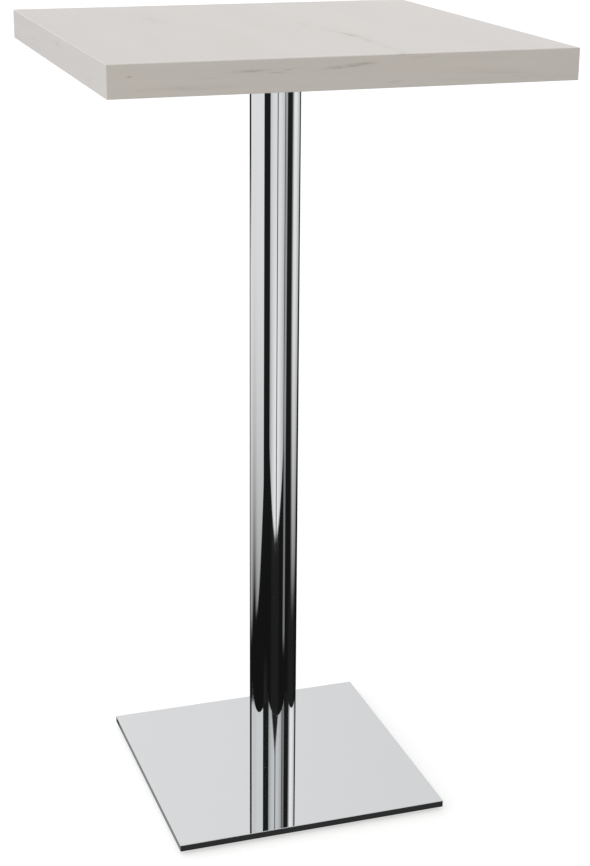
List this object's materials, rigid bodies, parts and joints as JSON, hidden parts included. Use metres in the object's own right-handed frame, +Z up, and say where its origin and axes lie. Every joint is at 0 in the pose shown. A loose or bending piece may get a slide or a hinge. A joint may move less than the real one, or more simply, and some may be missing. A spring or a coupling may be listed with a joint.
{
  "type": "pub table",
  "caption": "Tall square pub table with a thick pale wood-decor top on a round chromed column and a flat square chromed base plate with levelling feet.",
  "frame": {"origin": "on the floor under the column's axis, in the middle of the base plate and of the top", "axes": "+Z up along the column, front faces -Y, +X to the right seen from the front"},
  "size_m": [0.6, 0.6, 1.12],
  "materials": {
    "wood_decor": "pale greyish cream wood-decor laminate, satin, long faint grain from front to back",
    "edge_decor": "plastic edge band printed to match the top, satin, grain along its length",
    "backing": "plain pale grey balancing laminate, matt",
    "chipboard": "raw chipboard, hidden inside the top",
    "chrome": "mirror-polished chrome plate",
    "black_steel": "black satin powder coat on pressed steel",
    "zinc_steel": "bright zinc-plated steel",
    "raw_steel": "plain turned steel, hidden inside the column",
    "foot_plastic": "black moulded nylon"
  },
  "bodies": {
    "table": {"top_core": "chipboard", "top_laminate": "wood_decor", "backing_laminate": "backing", "edge_band_front": "edge_decor", "edge_band_back": "edge_decor", "edge_band_left": "edge_decor", "edge_band_right": "edge_decor", "top_bracket": "black_steel", "bracket_screws": "zinc_steel", "upper_bolt": "zinc_steel", "flat_washer": "zinc_steel", "spring_washer": "zinc_steel", "upper_plug": "raw_steel", "upper_pin": "raw_steel", "column_tube": "chrome", "lower_plug": "raw_steel", "lower_pin": "raw_steel", "lower_bolt": "zinc_steel", "base_plate": "chrome"},
    "pad_front_left": {"foot_pad_front_left": "foot_plastic"},
    "pad_front_right": {"foot_pad_front_right": "foot_plastic"},
    "pad_back_left": {"foot_pad_back_left": "foot_plastic"},
    "pad_back_right": {"foot_pad_back_right": "foot_plastic"},
    "stud_front_left": {"foot_stud_front_left": "zinc_steel"},
    "stud_front_right": {"foot_stud_front_right": "zinc_steel"},
    "stud_back_left": {"foot_stud_back_left": "zinc_steel"},
    "stud_back_right": {"foot_stud_back_right": "zinc_steel"}
  },
  "joints": [
    {"name": "foot_front_left_drop", "type": "slide", "parent": "table", "child": "pad_front_left", "axis": [0, 0, -1], "range_m": [0, 0.003]},
    {"name": "foot_front_left_turn", "type": "hinge", "parent": "pad_front_left", "child": "stud_front_left", "pos_m": [-0.165, -0.165, 0], "axis": [0, 0, -1], "range_deg": [0, 864]},
    {"name": "foot_front_right_drop", "type": "slide", "parent": "table", "child": "pad_front_right", "axis": [0, 0, -1], "range_m": [0, 0.003]},
    {"name": "foot_front_right_turn", "type": "hinge", "parent": "pad_front_right", "child": "stud_front_right", "pos_m": [0.165, -0.165, 0], "axis": [0, 0, -1], "range_deg": [0, 864]},
    {"name": "foot_back_left_drop", "type": "slide", "parent": "table", "child": "pad_back_left", "axis": [0, 0, -1], "range_m": [0, 0.003]},
    {"name": "foot_back_left_turn", "type": "hinge", "parent": "pad_back_left", "child": "stud_back_left", "pos_m": [-0.165, 0.165, 0], "axis": [0, 0, -1], "range_deg": [0, 864]},
    {"name": "foot_back_right_drop", "type": "slide", "parent": "table", "child": "pad_back_right", "axis": [0, 0, -1], "range_m": [0, 0.003]},
    {"name": "foot_back_right_turn", "type": "hinge", "parent": "pad_back_right", "child": "stud_back_right", "pos_m": [0.165, 0.165, 0], "axis": [0, 0, -1], "range_deg": [0, 864]}
  ],
  "couplings": [
    {"joint": "foot_front_left_turn", "follows": "foot_front_left_drop", "rad_per_m": 5026.5},
    {"joint": "foot_front_right_turn", "follows": "foot_front_right_drop", "rad_per_m": 5026.5},
    {"joint": "foot_back_left_turn", "follows": "foot_back_left_drop", "rad_per_m": 5026.5},
    {"joint": "foot_back_right_turn", "follows": "foot_back_right_drop", "rad_per_m": 5026.5}
  ]
}
